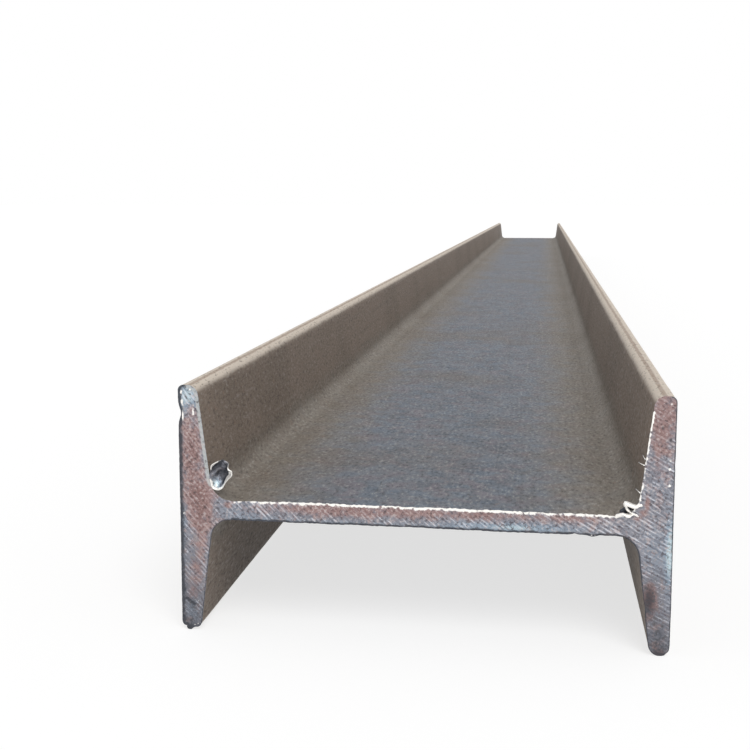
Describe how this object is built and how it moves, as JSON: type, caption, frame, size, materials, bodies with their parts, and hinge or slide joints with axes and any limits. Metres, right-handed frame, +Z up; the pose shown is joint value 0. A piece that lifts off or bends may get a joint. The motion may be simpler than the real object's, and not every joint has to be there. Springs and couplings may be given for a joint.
{
  "type": "steel i-beam",
  "caption": "Hot rolled steel I-beam with tapered flanges and sawn ends, lying on one side with its web level, as a length of structural stock.",
  "frame": {"origin": "middle of the footprint, on the level floor under the lower flange toes", "axes": "+X across the section depth from flange to flange, +Y along the length, +Z up across the flange width"},
  "size_m": [0.18, 3, 0.094],
  "materials": {
    "hot_rolled_steel": "mill scale with light rust, sawn ends"
  },
  "bodies": {
    "root": {"i_beam": "hot_rolled_steel"}
  },
  "joints": []
}
